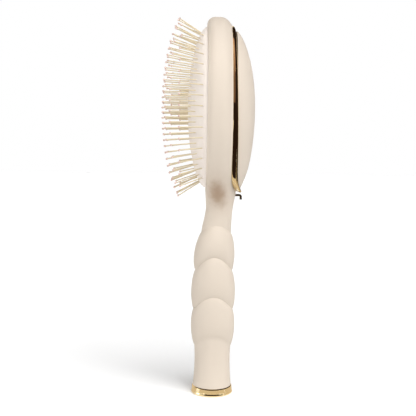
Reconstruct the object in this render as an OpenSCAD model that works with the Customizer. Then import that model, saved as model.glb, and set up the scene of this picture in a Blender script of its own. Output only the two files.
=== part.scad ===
// A detangling brush that stands on its own foot: an oval air cushion set
// with ball-tipped pins, a hollow head closed by a domed back cover, and a
// grip of three swelling waves with a weight inside its lower end.
// Z is up from the foot's face, and the pins point towards -X.

/* [Grip] */
// Height of the top crease of the grip above the foot's face
grip_l = 104.7; // [95:0.1:115]
// Largest radius of the grip's waves
grip_r = 14.3; // [13.6:0.1:15.5]
// How far each crease climbs from the front of the grip to its sides
crease_rise = 9.6; // [4:0.1:12]
// How far the grip's centre line has moved back where it meets the head
neck_shift = 4.4; // [2.5:0.1:5]
// Length of the neck, from the top crease to the cushion's lower end
neck_l = 28.5; // [25:0.1:34]

/* [Head] */
// Length of the cushion's opening
pad_l = 103; // [94:0.5:112]
// Width of the cushion's opening
pad_w = 58; // [54:0.5:62]
// Radius of the two ends of the oval
pad_end_r = 20; // [18:0.5:22]
// Width of the lip outside the cushion
lip_w = 5.6; // [5:0.1:6.5]
// How far the lip's face stands in front of the grip's centre line
lip_x = 5.7; // [5.2:0.1:6.4]
// Radius of the lip's rounded front edge
lip_round = 4.8; // [3.5:0.1:5]
// How far behind the lip's face the head starts to draw in
belly_x = 8.5; // [7.5:0.1:9.5]
// Radius that sets how fast the back of the head draws in
back_draw_r = 10.5; // [9:0.1:13]
// Distance of the seam with the gold ring behind the grip's centre line
seam_x = 10.2; // [9.8:0.1:11]
// How far the seam climbs backwards where the head meets the neck
seam_rise = 4; // [3:0.1:4.4]
// Length over which the seam's climb fades
seam_fade = 4.2; // [3:0.1:5]
// Radius of the blend between neck and head
shoulder_blend = 11; // [9:0.5:15]

/* [Floor inside the head] */
// Depth of the front recess below the lip's face
recess_d = 8.7; // [8.2:0.1:9.2]
// Thickness of the floor between the front and the back recess
floor_t = 2.2; // [1.6:0.1:2.8]
// Wall left around the back recess, from the cushion's opening inwards
back_ledge = 4.5; // [4:0.1:5.5]
// Radius of the air hole in the floor and in the carrier
vent_r = 1.5; // [1:0.1:2]

/* [Cushion] */
// Height of the cushion's crown above the lip's face
crown_h = 11.65; // [9.5:0.05:13]
// Thickness of the rubber skin
skin_t = 1.6; // [1.2:0.1:1.9]
// Clear space around the cushion
skin_gap = 0.3; // [0.2:0.05:0.4]
// Width of the flange that is clamped under the carrier
flange_w = 3; // [2:0.1:3.5]
// Clear space above and below the flange
flange_gap = 0.1; // [0.05:0.05:0.2]
// Thickness of the flange
flange_t = 1.4; // [1.2:0.1:1.6]

/* [Carrier] */
// Thickness of the carrier plate
carrier_t = 2; // [1.6:0.1:2.4]
// Clear space around the carrier plate inside the cushion's skirt
carrier_gap = 0.3; // [0.2:0.05:0.5]
// Radius of the carrier's screw posts
post_r = 2.6; // [2.2:0.1:3]
// Radius of the carrier screws
carrier_screw_r = 0.95; // [0.8:0.05:1.1]
// Radius of the carrier screws' heads
carrier_head_r = 2; // [1.7:0.1:2.4]
// Height of the carrier screws' heads
carrier_head_h = 1.5; // [1.2:0.1:1.8]
// Depth of the carrier screws in the posts and the plate
carrier_screw_bite = 3; // [2:0.1:3.4]

/* [Pins] */
// Radius of a pin
pin_r = 0.36; // [0.3:0.01:0.55]
// Length of a pin outside the cushion, with its tip
pin_l = 17; // [14:0.5:18]
// Radius of a pin's ball tip
tip_r = 0.68; // [0.6:0.01:0.9]
// Distance from the ends of the cushion's opening to the end pins of the middle row
row_end = 4.2; // [3.8:0.1:6]
// Number of pins in a long row; the rows between have one less
pin_count = 15; // [11:1:16]
// Width of the strip behind a row of pins
strip_w = 2; // [1.8:0.1:2.6]
// Thickness of the strip behind a row of pins
strip_t = 1; // [0.8:0.1:1.2]
// Depth of the strip's middle behind the outside of the cushion
strip_depth = 3; // [2.8:0.05:3.2]
// Tilt of the end pins along the head, in degrees
fan_tilt = 32.5; // [20:0.5:34]
// Tilt of the pins at the cushion's sides, in degrees
fan_splay = 31; // [24:1:33]

/* [Back cover and gold ring] */
// Height of the cover's dome above its edge
dome_h = 12.4; // [9:0.1:13.5]
// Thickness of the cover's wall
cover_t = 1.9; // [1.6:0.1:2.4]
// Width of the gold ring from front to back
ring_w = 2.7; // [2.2:0.1:3.2]
// Depth of the gold ring inwards from its back edge
ring_depth = 3.2; // [2.6:0.1:3.6]
// How far the ring draws in from its front edge to its back edge
ring_slant = 3.3; // [2.6:0.1:3.8]
// Swell of the ring's outer face
ring_swell = 0.35; // [0.2:0.05:0.5]
// How far the ring's front edge stands outside the cushion's opening
ring_proud = 0.4; // [0.2:0.05:0.6]
// Clear space between the ring and its seats
seat_gap = 0.05; // [0.03:0.01:0.1]
// Radius of the four pegs inside the cover
peg_r = 1.2; // [1:0.1:1.4]
// Wall of the sockets that take the pegs
socket_wall = 1.2; // [1:0.1:1.5]
// Height of the sockets above the floor
socket_h = 4.3; // [3.6:0.1:4.6]
// Clear space around a peg in its socket
peg_gap = 0.05; // [0.03:0.01:0.1]

/* [Hanging hook] */
// Radius of the hook's wire
hook_r = 0.75; // [0.6:0.05:0.9]
// How far the hook stands out of the neck
hook_out = 3.6; // [3:0.1:4.5]
// Length of the hook's leg below its bar
hook_drop = 2.9; // [2.4:0.1:3.6]
// Depth of the hook's stem in the neck
hook_stem = 5; // [4:0.1:6]
// Distance of the hook below the cushion's lower end
hook_below = 3.9; // [3.6:0.1:5]
// Clear space around the hook's stem
hook_gap = 0.02; // [0.01:0.01:0.05]

/* [Foot] */
// Radius of the foot at the table
foot_r = 13.57; // [13:0.01:15]
// Radius of the foot at its upper edge
foot_top_r = 12.95; // [12.8:0.01:13.6]
// Height of the foot
foot_h = 5.05; // [4.6:0.05:6]
// Thickness of the foot's skirt
foot_wall = 1.3; // [1:0.1:1.6]
// Clear space between the foot and the grip
foot_gap = 0.05; // [0.03:0.01:0.1]
// Height of the foot's floor above the table
foot_floor_z = 3; // [2.8:0.1:3.4]
// Radius of the pad under the foot
pad_foot_r = 11.2; // [10:0.1:11.8]
// Thickness of the pad under the foot
pad_foot_t = 0.8; // [0.6:0.1:1]
// Radius of the foot screw
foot_screw_r = 1.5; // [1.25:0.05:2]
// Length of the foot screw from its head's face
foot_screw_l = 9.6; // [8:0.1:11]
// Radius of the foot screw's countersunk head
foot_head_r = 3; // [2.6:0.1:3.6]

/* [Weight] */
// Radius of the bore that holds plug and weight
bore_r = 8; // [7:0.1:8.4]
// Length of the plug that closes the bore
plug_l = 10; // [9.5:0.1:12]
// Length of the steel weight
weight_l = 44; // [20:0.5:48]
// Clear space around plug and weight
bore_gap = 0.05; // [0.03:0.01:0.1]
// Radius of the narrow bore above the weight
upper_bore_r = 5.2; // [4:0.1:5.6]
// Height where the narrow bore ends, below the neck's end
upper_bore_stop = 21; // [20:0.5:24]

/* [Hidden] */
over = 1; // overrun of every cut
fine = 48; // facets that a round draws with
around = 44; // points around the body
oval_points = 48; // points around the ovals
tiny = 0.001; // smallest step of the surface search

body_colour = [0.91, 0.85, 0.78];
gold_colour = [0.83, 0.67, 0.38];
cushion_colour = [0.90, 0.86, 0.85];
pin_colour = [0.82, 0.72, 0.55];
tip_colour = [0.55, 0.38, 0.33];
steel_colour = [0.70, 0.71, 0.73];
dark_colour = [0.25, 0.24, 0.24];

pad_z = grip_l + neck_l + pad_l / 2;
pad_low_z = pad_z - pad_l / 2;
half_l = pad_l / 2;
half_w = pad_w / 2;
head_top_z = pad_z + half_l + lip_w;
floor_x = recess_d - lip_x;
floor_back_x = floor_x + floor_t;
row_l = pad_l - 2 * row_end;

// Heights of the foot's edge and the four creases, as shares of the grip's length
crease_z_shares = [foot_h / grip_l, 0.297, 0.525, 0.768, 1];
// Radius there, as shares of the grip's largest radius
crease_r_shares = [0.872, 0.825, 0.892, 0.834, 0.674];
// Swell between two of them, as shares of the same radius
swell_shares = [-0.040, 0.131, 0.135, 0.156];
// How much of the full rise each crease has at the sides
rise_shares = [0, 0.8, 1, 0.99, 0.55];
// Sharpness of the creases: below 1 the waves stand up from them steeply
swell_power = 0.75;
// Backward move of the centre line along the grip, as shares of neck_shift
grip_shift_shares = [[0, 0], [0.5, 0.03], [0.768, 0.05], [0.86, 0.13], [1, 0.35]];
// The same along the neck
neck_shift_shares = [[0, 0.35], [0.17, 0.455], [0.45, 0.70], [0.68, 0.864], [0.91, 1], [1.2, 1.03]];
// Half thickness of the neck along its length, as shares of its start
neck_r_shares = [[0, 1], [0.17, 0.97], [0.45, 0.957], [0.68, 1.0], [0.91, 1.05], [1.2, 1.07]];
// Half width of the neck along its length, as shares of its start
neck_wide_shares = [[0, 1], [0.17, 1.0], [0.45, 1.01], [0.68, 1.04], [0.91, 1.1], [1.2, 1.12]];
// Steps of the mesh along a wave, from crease to crease
wave_step_shares = [0, 0.04, 0.12, 0.23, 0.36, 0.5, 0.64, 0.77, 0.88, 0.96];
stem_step_shares = [0, 0.15, 0.35, 0.55, 0.75, 0.92];
// Steps of the mesh along the neck and the lower half of the head
neck_step_shares = [0.08, 0.16, 0.24, 0.32, 0.40, 0.48, 0.56, 0.64, 0.72, 0.80, 0.88, 0.96,
    1.04, 1.12, 1.20, 1.30, 1.42, 1.56];
head_low_steps = [0.2, 0.4, 0.6, 0.8, 1];
head_top_angles = [7, 14, 21, 28, 35, 41, 47, 53, 58, 63, 68, 72, 76, 80, 83.5, 87];

// Smooth curve through a table of [place, value] pairs
function find_span(t, table, i = 0) =
    i >= len(table) - 2 || t < table[i + 1][0] ? i : find_span(t, table, i + 1);
function slope_at(table, i) =
    i == 0 ? (table[1][1] - table[0][1]) / (table[1][0] - table[0][0]) :
    i == len(table) - 1 ? (table[i][1] - table[i - 1][1]) / (table[i][0] - table[i - 1][0]) :
    (table[i + 1][1] - table[i - 1][1]) / (table[i + 1][0] - table[i - 1][0]);
function curve(t, table) =
    let (
        c = min(max(t, table[0][0]), table[len(table) - 1][0]),
        i = find_span(c, table),
        w = table[i + 1][0] - table[i][0],
        s = (c - table[i][0]) / w,
        a = table[i][1],
        b = table[i + 1][1],
        ma = slope_at(table, i) * w,
        mb = slope_at(table, i + 1) * w
    )
    a * (1 + 2 * s) * (1 - s) * (1 - s) + ma * s * (1 - s) * (1 - s)
        + b * s * s * (3 - 2 * s) + mb * s * s * (s - 1);
function soft_min(a, b, k) =
    let (h = max(k - abs(a - b), 0)) min(a, b) - h * h / (4 * k);
function soft_max(a, b, k) = -soft_min(-a, -b, k);

// The oval of the cushion's opening: two end arcs joined by two side arcs
side_r = (pow(half_l - pad_end_r, 2) + pow(half_w, 2) - pow(pad_end_r, 2))
    / (2 * (half_w - pad_end_r));
end_z = half_l - pad_end_r;
side_y = side_r - half_w;
function oval_gap(y, z) =
    let (p = abs(y), q = abs(z))
    q * side_y > end_z * (p + side_y)
        ? norm([p, q - end_z]) - pad_end_r
        : norm([p + side_y, q]) - side_r;
// Distance from the oval's centre to its edge, grown by a margin, in one direction
function oval_reach(a, grow) =
    let (
        s = abs(sin(a)),
        c = abs(cos(a)),
        t_end = end_z * c + sqrt(pow(pad_end_r + grow, 2) - pow(end_z * s, 2)),
        in_end = pow(pad_end_r + grow, 2) > pow(end_z * s, 2)
            && t_end * c * side_y > end_z * (t_end * s + side_y)
    )
    in_end ? t_end : -side_y * s + sqrt(pow(side_r + grow, 2) - pow(side_y * c, 2));
oval_angles = [for (i = [0 : oval_points - 1])
    let (f = 360 * i / oval_points) atan2(pad_w * sin(f), pad_l * cos(f))];
// Point i of the oval as [y, z]; tail lengthens its lower half
function oval_point(i, grow, scale = 1, tail = 0) =
    let (
        a = oval_angles[i],
        r = oval_reach(a, grow) * scale,
        z = r * cos(a)
    )
    [r * sin(a), pad_z + z * (z < 0 ? 1 + tail : 1)];
function oval_outline(grow) = [for (i = [0 : oval_points - 1]) oval_point(i, grow)];

// The grip's waves: radius, centre and side rise at height u of the front line
function wave_of(u, i = 0) =
    i >= len(crease_z_shares) - 2 || u < crease_z_shares[i + 1] * grip_l ? i : wave_of(u, i + 1);
function wave_part(u, i) =
    (u / grip_l - crease_z_shares[i]) / (crease_z_shares[i + 1] - crease_z_shares[i]);
function grip_radius(u) =
    let (
        i = wave_of(u),
        t = min(max(wave_part(u, i), 0), 1),
        flat = crease_r_shares[i] * (1 - t) + crease_r_shares[i + 1] * t,
        hump = 4 * t * (1 - t)
    )
    grip_r * (flat + swell_shares[i] * (i == 0 ? hump : pow(hump, swell_power)));
function grip_rise(u) =
    let (i = wave_of(u), t = min(max(wave_part(u, i), 0), 1), s = t * t * (3 - 2 * t))
    crease_rise * (rise_shares[i] * (1 - s) + rise_shares[i + 1] * s);
function neck_part(z) = (z - grip_l) / neck_l;
neck_start_r = grip_r * crease_r_shares[len(crease_r_shares) - 1];
function centre_x(z) =
    z < grip_l ? neck_shift * curve(z / grip_l, grip_shift_shares)
               : neck_shift * curve(neck_part(z), neck_shift_shares);
function neck_rise(u) =
    let (t = min(max(neck_part(u) / 0.7, 0), 1))
    crease_rise * rise_shares[len(rise_shares) - 1] * (1 - t * t * (3 - 2 * t));

// The head as a bulging oval slab, and the neck that runs into it
function lip_loss(x) =
    let (d = max(-x - lip_x + lip_round, 0))
    d < lip_round ? lip_round - sqrt(lip_round * lip_round - d * d)
                  : lip_round + 4 * (d - lip_round);
function back_loss(x) = pow(max(x + lip_x - belly_x, 0), 2) / back_draw_r;
function head_gap(x, y, z) = oval_gap(y, z - pad_z) - lip_w + lip_loss(x) + back_loss(x);
function neck_gap(x, y, z) =
    let (
        a = neck_start_r * curve(neck_part(z), neck_r_shares),
        b = neck_start_r * curve(neck_part(z), neck_wide_shares)
    )
    (norm([(x - centre_x(z)) / a, y / b]) - 1) * a + max(z - pad_low_z, 0);
edge_blend = 3;
function body_gap(x, y, z) =
    let (
        a = neck_start_r * curve(neck_part(z), neck_r_shares),
        front = z > pad_low_z ? -lip_x : min(-lip_x, centre_x(z) - a),
        joined = soft_min(neck_gap(x, y, z), head_gap(x, y, z), shoulder_blend),
        fade = min(max((z - grip_l) / neck_l / 0.4 - 0.4, 0), 1),
        bounded = max(joined, front - x)
    )
    z > pad_low_z ? bounded
        : fade > 0 ? max(bounded, soft_max(joined, abs(x - centre_x(z)) - a, edge_blend * fade))
        : bounded;
function reach(cx, dx, dy, z, low, high) =
    let (m = (low + high) / 2)
    high - low < tiny * grip_r ? m
        : body_gap(cx + dx * m, dy * m, z) > 0 ? reach(cx, dx, dy, z, low, m)
        : reach(cx, dx, dy, z, m, high);
search_r = pad_w;
// Centre of the head's sections, as shares of the distance from the lip to the seam
head_centre_shares = [[0, 0.62], [0.3, 0.52], [0.9, 0.50], [1, 0.41]];
function section_x(z) =
    z < pad_low_z ? centre_x(z)
        : -lip_x + (lip_x + seam_x) * curve((z - pad_low_z) / (head_top_z - pad_low_z), head_centre_shares);
function body_ring(u) =
    let (zc = u, cx0 = section_x(zc), wide = reach(cx0, 0, 1, zc, 0, search_r),
        deep = neck_start_r)
    [for (j = [0 : around - 1])
        let (
            f = 360 * j / around,
            z = u + sin(f) * sin(f) * neck_rise(u),
            cx = section_x(z),
            d = norm([cos(f) * deep, sin(f) * wide]),
            dx = cos(f) * deep / d,
            dy = sin(f) * wide / d,
            r = reach(cx, dx, dy, z, 0, search_r)
        )
        [cx + dx * r, dy * r, z]];
function grip_ring(u) =
    let (r = grip_radius(u), rise = grip_rise(u), cx = centre_x(u))
    [for (j = [0 : around - 1])
        let (f = 360 * j / around)
        [cx + r * cos(f), r * sin(f), u + sin(f) * sin(f) * rise]];
grip_steps = [
    for (s = stem_step_shares)
        grip_l * (crease_z_shares[0] * (1 - s) + crease_z_shares[1] * s),
    for (i = [1 : len(crease_z_shares) - 2])
        for (s = wave_step_shares)
            grip_l * (crease_z_shares[i] * (1 - s) + crease_z_shares[i + 1] * s),
    grip_l];
neck_end_step = neck_step_shares[len(neck_step_shares) - 1];
low_start_z = grip_l + neck_l * neck_end_step;
head_steps = [
    for (s = neck_step_shares) grip_l + neck_l * s,
    for (s = head_low_steps) low_start_z + (pad_z - low_start_z) * s,
    for (a = head_top_angles) pad_z + (half_l + lip_w) * sin(a)];

// A closed solid from rings of points, with a pole at either end
module ring_solid(first, rings, last, flip = false) {
    n = len(rings[0]);
    m = len(rings);
    points = concat([first], [for (ring = rings) for (k = [0 : n - 1]) ring[flip ? n - 1 - k : k]], [last]);
    top = 1 + n * m;
    faces = concat(
        [for (j = [0 : n - 1]) [0, 1 + j, 1 + (j + 1) % n]],
        [for (i = [0 : m - 2]) for (j = [0 : n - 1])
            [1 + i * n + j, 1 + (i + 1) * n + j, 1 + (i + 1) * n + (j + 1) % n]],
        [for (i = [0 : m - 2]) for (j = [0 : n - 1])
            [1 + i * n + j, 1 + (i + 1) * n + (j + 1) % n, 1 + i * n + (j + 1) % n]],
        [for (j = [0 : n - 1]) [top, 1 + (m - 1) * n + (j + 1) % n, 1 + (m - 1) * n + j]]
    );
    polyhedron(points, faces);
}

// A straight prism of the oval between two places along X
module oval_prism(grow, x_low, x_high) {
    translate([x_low, 0, 0])
        rotate([90, 0, 90])
            linear_extrude(x_high - x_low)
                polygon(oval_outline(grow));
}

// A round bar along X
module bar_x(r, x_low, x_high, y, z) {
    translate([x_low, y, z])
        rotate([0, 90, 0])
            cylinder(h = x_high - x_low, r = r, $fn = fine);
}

// The seam between shell, ring and cover, which climbs where the neck begins
ring_tail_share = 0.023;
cover_tail_share = 0.072;
tail_z = pad_z - (half_l + ring_proud) * (1 + ring_tail_share);
function seam_lift(z) = seam_rise * exp(-max(z - tail_z, 0) / seam_fade);
seam_step_shares = [0, 0.15, 0.3, 0.5, 0.75, 1, 1.4, 1.9, 2.5, 3.2, 4, 5];
cover_x = seam_x + ring_w;
cover_grow = ring_proud - ring_slant;

module seam_cut() {
    top_z = head_top_z + over;
    line = concat(
        [for (s = seam_step_shares)
            let (z = tail_z + s * seam_fade) [seam_x + seam_lift(z), z]],
        [[seam_x, top_z]]);
    far = seam_x + dome_h + lip_w + over;
    rotate([90, 0, 0])
        linear_extrude(pad_w + lip_w * 4, center = true)
            polygon(concat(line, [[far, top_z], [far, tail_z]]));
}

// Places of the carrier screws and of the cover's pegs, as shares of the oval's half sizes
screw_place_shares = [[0, 0.77], [0.6, 0.28], [0.6, -0.28], [0, -0.77], [-0.6, -0.28], [-0.6, 0.28]];
peg_place_shares = [[0.38, 0.56], [0.38, -0.56], [-0.38, -0.56], [-0.38, 0.56]];
function place(share) = [share[0] * half_w, pad_z + share[1] * half_l];

hook_z = pad_low_z - hook_below;
neck_back_x = neck_shift * curve(neck_part(hook_z), neck_shift_shares)
    + neck_start_r * curve(neck_part(hook_z), neck_r_shares);
spigot_r = foot_top_r - foot_wall - foot_gap;
socket_r = peg_r + peg_gap + socket_wall;

module body_shell() {
    bottom_z = foot_h;
    color(body_colour)
    difference() {
        union() {
            difference() {
                ring_solid([0, 0, bottom_z],
                    concat([for (u = grip_steps) grip_ring(u)], [for (u = head_steps) body_ring(u)]),
                    [section_x(head_top_z), 0, head_top_z]);
                seam_cut();
                oval_prism(0, -lip_x - over, floor_x);
                oval_prism(-back_ledge, floor_back_x, seam_x + seam_rise + over);
            }
            translate([0, 0, foot_floor_z])
                cylinder(h = bottom_z + over - foot_floor_z, r = spigot_r, $fn = fine);
            for (share = peg_place_shares)
                let (p = place(share))
                    bar_x(socket_r, floor_back_x - floor_t / 2, floor_back_x + socket_h, p[0], p[1]);
        }
        for (share = peg_place_shares)
            let (p = place(share))
                bar_x(peg_r + peg_gap, floor_back_x, floor_back_x + socket_h + over, p[0], p[1]);
        for (share = screw_place_shares)
            let (p = place(share))
                bar_x(carrier_screw_r + peg_gap, floor_x - over, floor_back_x + over, p[0], p[1]);
        bar_x(vent_r, floor_x - over, floor_back_x + over, 0, pad_z);
        translate([0, 0, foot_floor_z - over])
            cylinder(h = over + plug_l + weight_l + bore_gap, r = bore_r, $fn = fine);
        translate([0, 0, foot_floor_z + plug_l + weight_l])
            cylinder(h = grip_l + neck_l - upper_bore_stop - foot_floor_z - plug_l - weight_l,
                r = upper_bore_r, $fn = fine);
        bar_x(hook_r + hook_gap, neck_back_x - hook_stem, neck_back_x + hook_out, 0, hook_z);
    }
}

// The cover's dome: its height over the seam at a share of the way to its edge
dome_power = 0.68;
dome_fade = 16; // length over which the dome's lower end follows the seam
function dome_lift(y, z) =
    seam_rise * exp(-max(z - tail_z, 0) / dome_fade) * exp(-pow(y / dome_fade, 2));
function dome_point(i, part, inset) =
    let (
        p = oval_point(i, cover_grow - seat_gap - inset, part, cover_tail_share),
        blend = pow(part, 6),
        lift = (1 - blend) * dome_lift(p[0], p[1]) + blend * seam_lift(p[1])
    )
    [cover_x + lift + (dome_h - inset) * pow(1 - part * part, dome_power), p[0], p[1]];
dome_step_shares = [0.08, 0.2, 0.35, 0.5, 0.63, 0.75, 0.84, 0.91, 0.96, 0.99, 1];
dome_inner_shares = [1, 0.97, 0.9, 0.78, 0.6, 0.4, 0.2];
function dome_ring(part, inset) =
    [for (i = [0 : oval_points - 1]) dome_point(i, part, inset)];
function dome_inside_x(p) =
    let (
        q = [p[0], p[1] - pad_z],
        part = norm(q) / (oval_reach(atan2(q[0], q[1]), cover_grow - seat_gap - cover_t)
            * (q[1] < 0 ? 1 + cover_tail_share : 1))
    )
    cover_x + dome_lift(p[0], p[1]) + (dome_h - cover_t) * pow(1 - part * part, dome_power);

module back_cover() {
    middle = [cover_x + dome_h + dome_lift(0, pad_z), 0, pad_z];
    color(body_colour)
    union() {
        ring_solid(middle,
            concat([for (s = dome_step_shares) dome_ring(s, 0)],
                [for (s = dome_inner_shares) dome_ring(s, cover_t)]),
            [middle[0] - cover_t, 0, pad_z]);
        for (share = peg_place_shares)
            let (p = place(share))
                bar_x(peg_r, floor_back_x + peg_gap * 4, dome_inside_x(p) + cover_t / 2, p[0], p[1]);
    }
}

// The ring's section: front edge, swelled outer face, back edge, and the inner face
module trim_ring() {
    inner = cover_grow - ring_depth;
    section = [
        [seat_gap, inner, 0],
        [seat_gap, ring_proud - ring_swell, ring_tail_share],
        [ring_w * 0.12, ring_proud, ring_tail_share],
        [ring_w * 0.55, (ring_proud + cover_grow) / 2 + ring_swell * 2, (ring_tail_share + cover_tail_share) / 2],
        [ring_w * 0.94, cover_grow + ring_swell, cover_tail_share],
        [ring_w - seat_gap, cover_grow, cover_tail_share],
        [ring_w - seat_gap, cover_grow - seat_gap - cover_t, cover_tail_share],
        [ring_w - seat_gap, inner, 0]];
    n = len(section);
    m = oval_points;
    points = [for (i = [0 : m - 1]) for (s = section)
        let (p = oval_point(i, s[1], 1, s[2])) [seam_x + s[0] + seam_lift(p[1]), p[0], p[1]]];
    faces = concat(
        [for (i = [0 : m - 1]) for (k = [0 : n - 1])
            [i * n + k, ((i + 1) % m) * n + (k + 1) % n, i * n + (k + 1) % n]],
        [for (i = [0 : m - 1]) for (k = [0 : n - 1])
            [i * n + k, ((i + 1) % m) * n + k, ((i + 1) % m) * n + (k + 1) % n]]);
    color(gold_colour) polyhedron(points, faces);
}

// The cushion's flange lies on the head's floor, and the carrier holds it down
flange_back_x = floor_x - flange_gap;
flange_front_x = flange_back_x - flange_t;
carrier_back_x = flange_front_x - flange_gap;
carrier_front_x = carrier_back_x - carrier_t;

module pad_carrier() {
    color(dark_colour)
    difference() {
        union() {
            oval_prism(-skin_gap - skin_t - carrier_gap, carrier_front_x, carrier_back_x);
            for (share = screw_place_shares)
                let (p = place(share))
                    bar_x(post_r, carrier_back_x - carrier_t / 2, floor_x, p[0], p[1]);
        }
        for (share = screw_place_shares)
            let (p = place(share))
                bar_x(carrier_screw_r + peg_gap, floor_x - carrier_screw_bite, floor_x + over, p[0], p[1]);
        bar_x(vent_r, carrier_front_x - over, carrier_back_x + over, 0, pad_z);
    }
}

module carrier_screws() {
    color(steel_colour)
    for (share = screw_place_shares)
        let (p = place(share))
        difference() {
            union() {
                bar_x(carrier_head_r, floor_back_x, floor_back_x + carrier_head_h, p[0], p[1]);
                bar_x(carrier_screw_r, floor_x - carrier_screw_bite + peg_gap,
                    floor_back_x + carrier_head_h / 2, p[0], p[1]);
            }
            translate([floor_back_x + carrier_head_h * 0.6, p[0], p[1]])
                rotate([0, 90, 0])
                    cylinder(h = carrier_head_h, r = carrier_screw_r * 0.8, $fn = 6);
        }
}

// The cushion is one rubber skin: dome, skirt and flange
crown_power = 0.6;
skin_step_shares = [0.12, 0.3, 0.46, 0.6, 0.72, 0.82, 0.9, 0.955, 0.985, 1];
skin_inner_shares = [0.985, 0.93, 0.84, 0.7, 0.53, 0.35, 0.15];
function crown_x(part, inset) =
    -lip_x - (crown_h - inset) * pow(1 - part * part, crown_power);
function skin_ring(part, inset) =
    [for (i = [0 : oval_points - 1])
        let (p = oval_point(i, -skin_gap - inset, part)) [crown_x(part, inset), p[0], p[1]]];
function flat_ring(grow, x) =
    [for (i = [0 : oval_points - 1])
        let (p = oval_point(i, grow)) [x, p[0], p[1]]];

module cushion() {
    color(cushion_colour)
    ring_solid([-lip_x - crown_h, 0, pad_z],
        concat(
            [for (s = skin_step_shares) skin_ring(s, 0)],
            [flat_ring(-skin_gap, flange_back_x),
                flat_ring(-skin_gap - skin_t - flange_w, flange_back_x),
                flat_ring(-skin_gap - skin_t - flange_w, flange_front_x),
                flat_ring(-skin_gap - skin_t, flange_front_x),
                flat_ring(-skin_gap - skin_t, -lip_x)],
            [for (s = skin_inner_shares) skin_ring(s, skin_t)]),
        [-lip_x - crown_h + skin_t, 0, pad_z], flip = true);
}

// Rows run along the head like meridians; these are their shares of the half width
row_place_shares = [-0.95, -0.75, -0.5, -0.24, 0, 0.24, 0.5, 0.75, 0.95];
row_shorten_share = 0.08;
// Where these meridians meet, as a share of the cushion's half length
row_pole_share = 0.96;
splay_power = 2.6;
// The pins stay nearly level in the middle of a row and fan out towards its ends
fan_power = 2.15;
// How much less the outermost rows fan along the head than the middle one
fan_drop_share = 0.4;
// Spacing in the middle of every row, as a share of the middle row's mean spacing
row_even_share = 0.945;
function row_count(k) = k % 2 == 0 ? pin_count : pin_count - 1;
function pin_share(k, i) =
    let (
        t = (2 * i - row_count(k) + 1) / (pin_count - 1),
        end_share = 1 - row_shorten_share * pow(row_place_shares[k], 2)
    )
    row_even_share * t + (end_share - row_even_share) * pow(t, 3);
function pin_base(k, i) =
    let (
        z = pin_share(k, i) * row_l / 2,
        wide = side_width(z / row_pole_share),
        y = row_place_shares[k] * wide,
        part = norm([y, z]) / oval_reach(atan2(y, z), -skin_gap)
    )
    [crown_x(min(part, 1), 0), y, pad_z + z];
// Half width of the cushion's opening at a height from its middle
end_join_z = end_z * side_r / (side_r - pad_end_r);
function side_width(z) =
    abs(z) > end_join_z ? sqrt(max(pow(pad_end_r, 2) - pow(abs(z) - end_z, 2), 0))
        : sqrt(pow(side_r, 2) - z * z) - side_y;
function pin_direction(k, i) =
    let (
        share = pin_share(k, i),
        v = row_place_shares[k],
        tilt = fan_tilt * sign(share) * pow(abs(share), fan_power) * (1 - fan_drop_share * v * v),
        splay = fan_splay * sign(v) * pow(abs(v), splay_power)
    )
    [-cos(tilt) * cos(splay), cos(tilt) * sin(splay), sin(tilt)];

// The end of a pin's wire, where the flat of its ball sits
tip_seat = sqrt(pow(tip_r, 2) - pow(pin_r, 2));
wire_end = pin_l - tip_r - tip_seat;
// Puts what follows on the axis of a pin, at a height over the cushion
module on_pin(k, i, height) {
    d = pin_direction(k, i);
    translate(pin_base(k, i) + d * height)
        rotate([0, acos(d[2]), atan2(d[1], d[0])])
            children();
}

module pin_row(k) {
    n = row_count(k);
    v = row_place_shares[k];
    function strip_middle(i) = pin_base(k, i) - pin_direction(k, i) * strip_depth;
    function along(i) =
        let (t = strip_middle(min(i + 1, n - 1)) - strip_middle(max(i - 1, 0))) t / norm(t);
    function strip_ring(i, extend) =
        let (
            d = pin_direction(k, i),
            t = along(i),
            s = cross(d, t),
            side = s / norm(s) * strip_w / 2,
            up = cross(t, side / norm(side)) * strip_t / 2,
            c = strip_middle(i) + t * extend
        )
        [c + side + up, c - side + up, c - side - up, c + side - up];
    rings = concat([strip_ring(0, -strip_w / 2)],
        [for (i = [0 : n - 1]) strip_ring(i, 0)],
        [strip_ring(n - 1, strip_w / 2)]);
    color(pin_colour)
    union() {
        ring_solid(strip_middle(0) - along(0) * strip_w / 2, rings,
            strip_middle(n - 1) + along(n - 1) * strip_w / 2);
        for (i = [0 : n - 1])
            on_pin(k, i, -strip_depth)
                cylinder(h = strip_depth + wire_end, r = pin_r, $fn = fine / 2);
    }
}

module pin_row_1() { pin_row(0); }
module pin_row_2() { pin_row(1); }
module pin_row_3() { pin_row(2); }
module pin_row_4() { pin_row(3); }
module pin_row_5() { pin_row(4); }
module pin_row_6() { pin_row(5); }
module pin_row_7() { pin_row(6); }
module pin_row_8() { pin_row(7); }
module pin_row_9() { pin_row(8); }

// One ball on the end of each pin, cut flat where it sits on the wire
module pin_tips() {
    color(tip_colour)
    for (k = [0 : len(row_place_shares) - 1])
        for (i = [0 : row_count(k) - 1])
            on_pin(k, i, wire_end)
                difference() {
                    translate([0, 0, tip_seat])
                        sphere(r = tip_r, $fn = fine / 2);
                    translate([0, 0, -tip_r])
                        cylinder(h = tip_r, r = tip_r, $fn = fine / 2);
                }
}

// A wire hook with its stem pressed into the back of the neck
module hanging_hook() {
    bend_x = neck_back_x + hook_out - hook_r;
    color(gold_colour)
    union() {
        bar_x(hook_r, neck_back_x - hook_stem + hook_gap, bend_x, 0, hook_z);
        translate([bend_x, 0, hook_z])
            sphere(r = hook_r, $fn = fine);
        translate([bend_x, 0, hook_z - hook_drop])
            cylinder(h = hook_drop, r = hook_r, $fn = fine);
    }
}

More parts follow.
